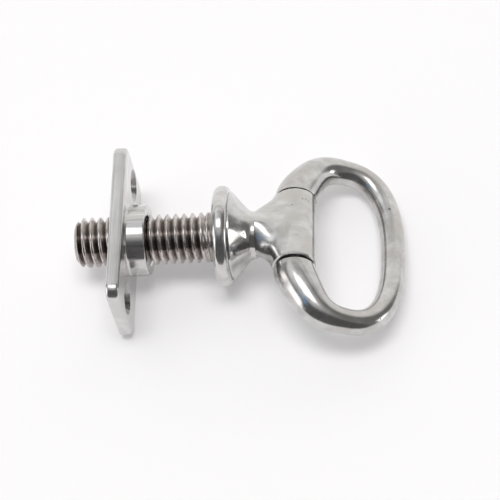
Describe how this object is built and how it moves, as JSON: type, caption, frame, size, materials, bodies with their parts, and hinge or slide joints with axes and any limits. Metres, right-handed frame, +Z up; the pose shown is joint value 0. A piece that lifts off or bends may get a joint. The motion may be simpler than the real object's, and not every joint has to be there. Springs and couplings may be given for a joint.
{
  "type": "screw-in ring",
  "caption": "Screw-in deck ring: a cast ring swings on the barrel head of a threaded eye screw held in a plate with a raised threaded boss.",
  "frame": {"origin": "on the screw axis in the back face of the plate, midway between its two screw holes", "axes": "+X along the screw axis from the plate towards the ring; +Y along the plate's long side; +Z up, away from the surface that the part lies on. The head, its pin and the ring are turned 6.5 degrees about X, as the screw was left in the picture."},
  "size_m": [0.0611, 0.0396, 0.0204],
  "materials": {
    "plate_steel": "polished stainless steel",
    "screw_steel": "polished stainless steel, thread left as cut",
    "ring_steel": "polished stainless steel",
    "pin_steel": "ground stainless steel"
  },
  "bodies": {
    "plate": {"mounting_plate": "plate_steel"},
    "screw": {"eye_screw": "screw_steel"},
    "ring": {"ring": "ring_steel", "hinge_pin": "pin_steel"}
  },
  "joints": [
    {"name": "screw_travel", "type": "slide", "parent": "plate", "child": "screw", "axis": [1, 0, 0], "range_m": [-0.0127, 0.0127]},
    {"name": "ring_hinge", "type": "hinge", "parent": "screw", "child": "ring", "pos_m": [0.03365, 0, 0], "axis": [0, -0.9936, 0.1132], "range_deg": [-114, 162]}
  ]
}
